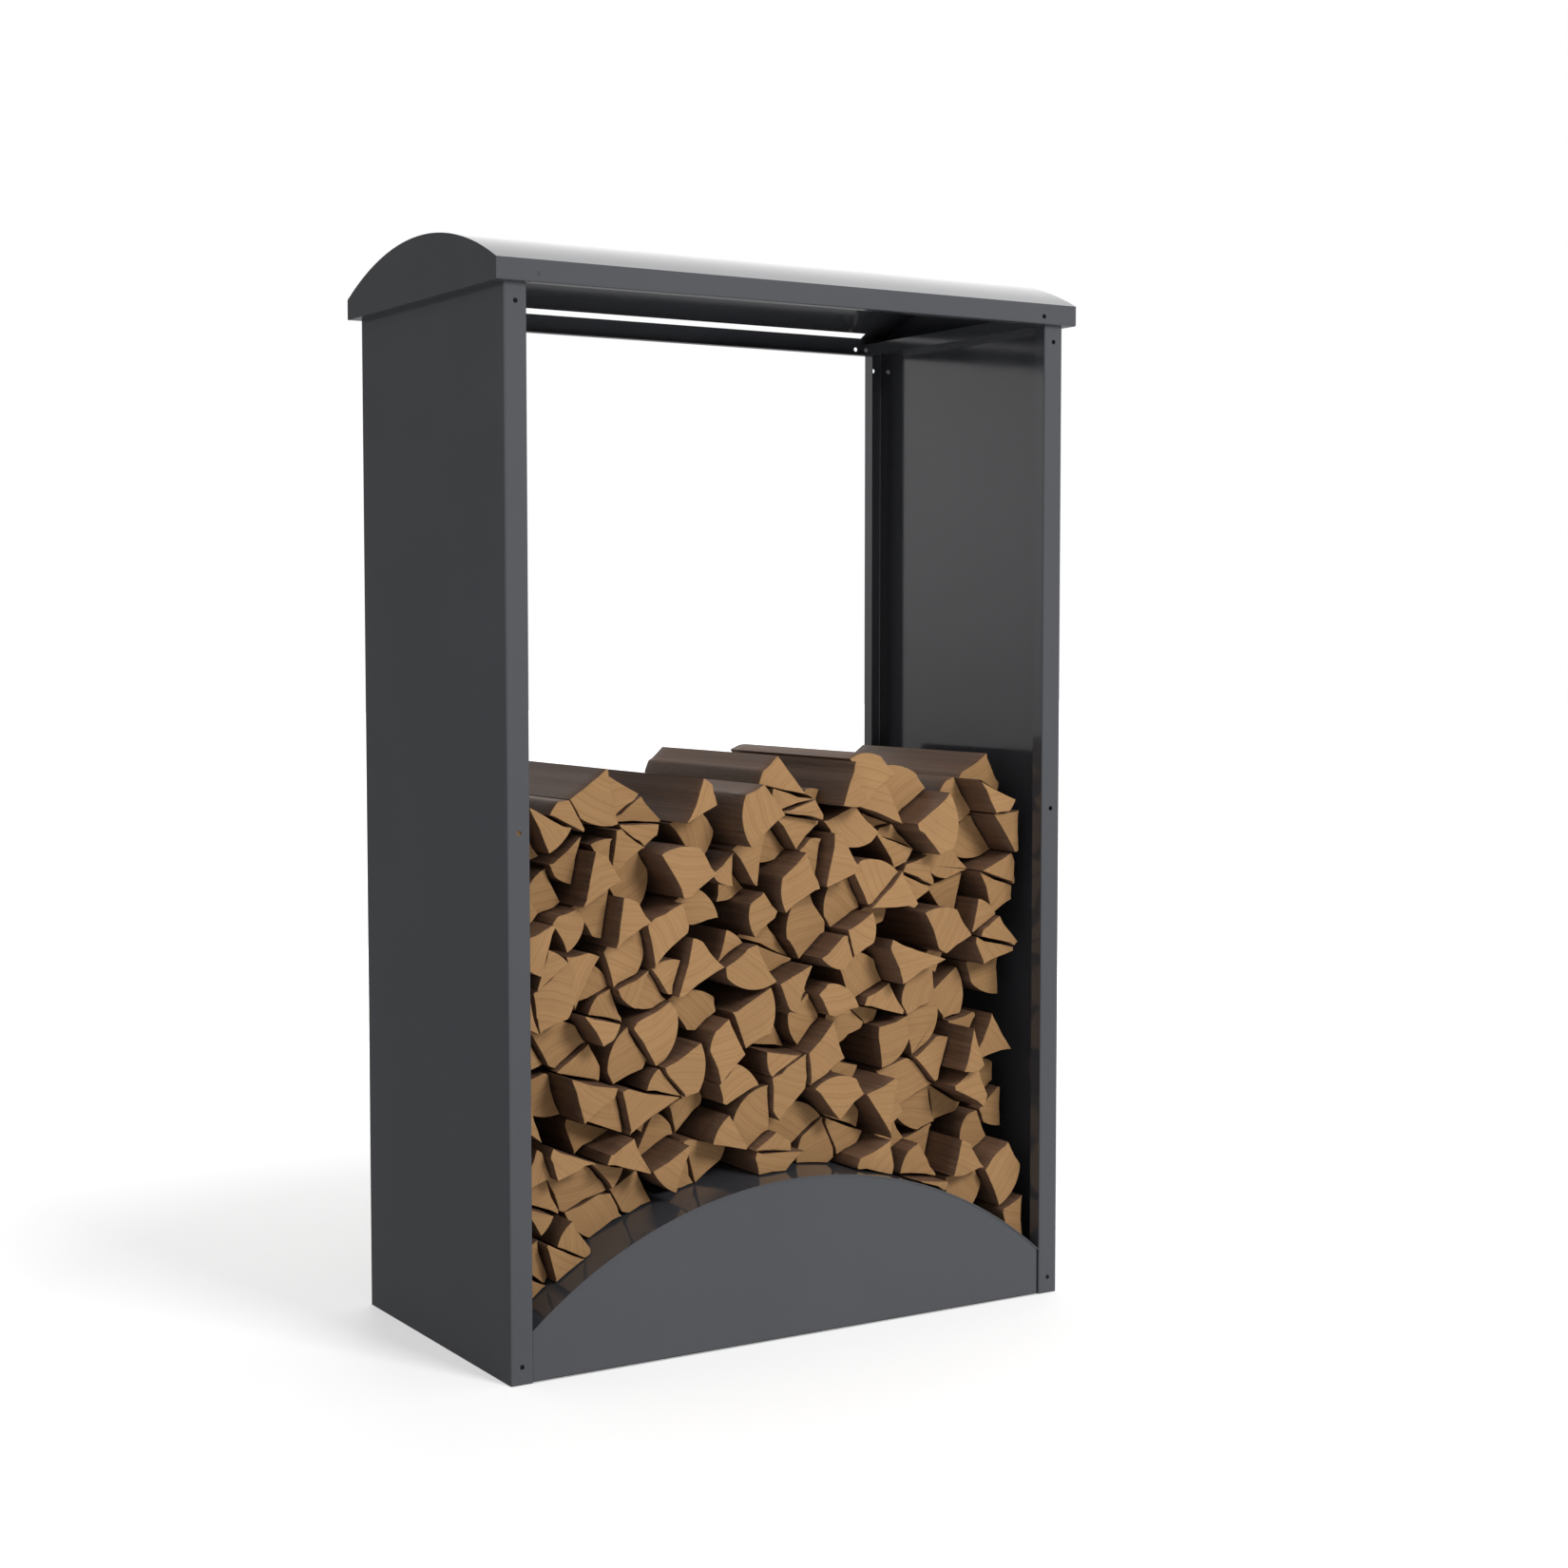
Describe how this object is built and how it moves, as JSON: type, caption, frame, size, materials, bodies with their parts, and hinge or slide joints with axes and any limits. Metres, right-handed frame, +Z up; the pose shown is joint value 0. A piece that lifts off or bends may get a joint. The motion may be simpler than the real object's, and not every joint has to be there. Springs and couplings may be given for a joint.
{
  "type": "log store",
  "caption": "Tall open-backed firewood store of folded steel: flanged side panels, a barrel roof with a rear vent slot and an arched floor that carries a stack of split logs.",
  "frame": {"origin": "middle of the footprint, on the ground", "axes": "+Z up, -Y towards the open front, +X to the right as seen from the front"},
  "size_m": [1.104, 0.588, 1.799],
  "materials": {
    "anthracite_powder_coat": "smooth, fairly glossy anthracite powder coat",
    "split_firewood": "sawn end grain, split faces and bark, dry and untreated"
  },
  "bodies": {
    "root": {"left_side_panel": "anthracite_powder_coat", "right_side_panel": "anthracite_powder_coat", "left_gable": "anthracite_powder_coat", "right_gable": "anthracite_powder_coat", "roof_sheet": "anthracite_powder_coat", "rear_fascia": "anthracite_powder_coat", "front_apron": "anthracite_powder_coat", "rear_apron": "anthracite_powder_coat", "arched_floor": "anthracite_powder_coat", "firewood_pile_1": "split_firewood", "firewood_pile_2": "split_firewood", "firewood_pile_3": "split_firewood", "firewood_pile_4": "split_firewood", "firewood_pile_5": "split_firewood", "firewood_pile_6": "split_firewood", "firewood_pile_7": "split_firewood", "firewood_pile_8": "split_firewood", "firewood_pile_9": "split_firewood", "firewood_pile_10": "split_firewood", "firewood_pile_11": "split_firewood"}
  },
  "joints": []
}
